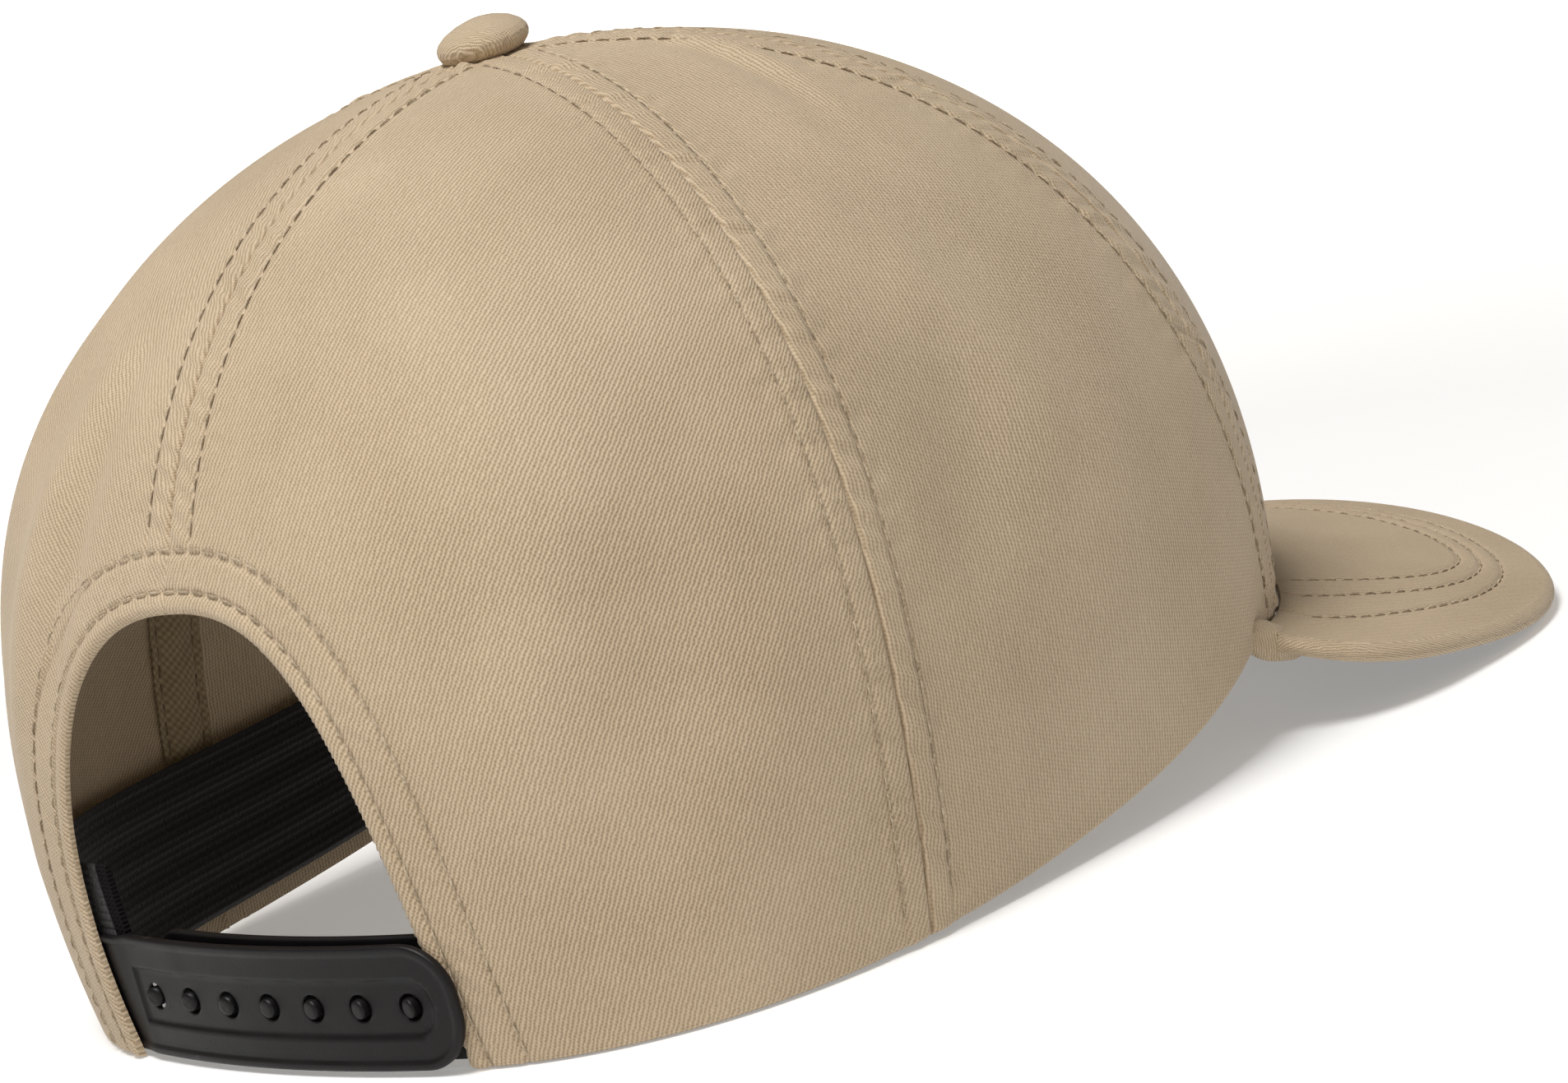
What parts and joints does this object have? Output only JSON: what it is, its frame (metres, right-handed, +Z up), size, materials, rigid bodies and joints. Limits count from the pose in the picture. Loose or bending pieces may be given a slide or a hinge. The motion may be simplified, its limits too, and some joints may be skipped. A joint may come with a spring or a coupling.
{
  "type": "baseball cap",
  "caption": "Cotton twill cap with a curved brim, covered top button, rear arch opening and a plastic peg-and-hole snap strap.",
  "frame": {"origin": "centre of the head opening, on the table that the cap stands on", "axes": "+X forward along the brim, +Y to the wearer's left, +Z up through the button"},
  "size_m": [0.2537, 0.172, 0.1374],
  "materials": {
    "twill": "cotton twill, matt",
    "tape_cloth": "folded cotton tape, matt",
    "buckram": "stiff open-weave buckram",
    "mesh_knit": "ribbed black knit mesh, matt",
    "knit_binding": "ribbed black knit tape, matt",
    "brim_board": "moulded polyethylene sheet",
    "under_cloth": "black cotton twill, matt",
    "button_metal": "pressed, dull",
    "strap_plastic": "black moulded plastic, satin"
  },
  "bodies": {
    "cap": {"front_panel": "twill", "side_panel_right": "twill", "side_panel_left": "twill", "back_panel_right": "twill", "back_panel_left": "twill", "front_buckram": "buckram", "front_seam_tape_right": "tape_cloth", "front_seam_tape_left": "tape_cloth", "side_seam_tape_right": "tape_cloth", "side_seam_tape_left": "tape_cloth", "back_seam_tape": "tape_cloth", "arch_facing": "twill", "sweatband": "mesh_knit", "sweatband_binding_right": "knit_binding", "sweatband_binding_left": "knit_binding", "brim_board": "brim_board", "brim_top_cloth": "twill", "brim_under_cloth": "under_cloth", "button_shell": "button_metal", "button_cover": "twill", "button_prong": "button_metal", "button_washer": "button_metal", "holed_strap_tab": "strap_plastic", "peg_strap_tab": "strap_plastic"},
    "outer_strap": {"holed_strap": "strap_plastic"},
    "inner_strap": {"peg_strap": "strap_plastic"}
  },
  "joints": [
    {"name": "outer_strap_flex", "type": "hinge", "parent": "cap", "child": "outer_strap", "pos_m": [-0.09224, 0.03266, 0.0103], "axis": [0.0477, 0, -0.9989], "range_deg": [0, 70], "stiffness_Nm_per_rad": 0.01},
    {"name": "inner_strap_flex", "type": "hinge", "parent": "cap", "child": "inner_strap", "pos_m": [-0.08992, -0.03846, 0.01041], "axis": [0.0477, 0, -0.9989], "range_deg": [0, 50], "stiffness_Nm_per_rad": 0.01}
  ]
}
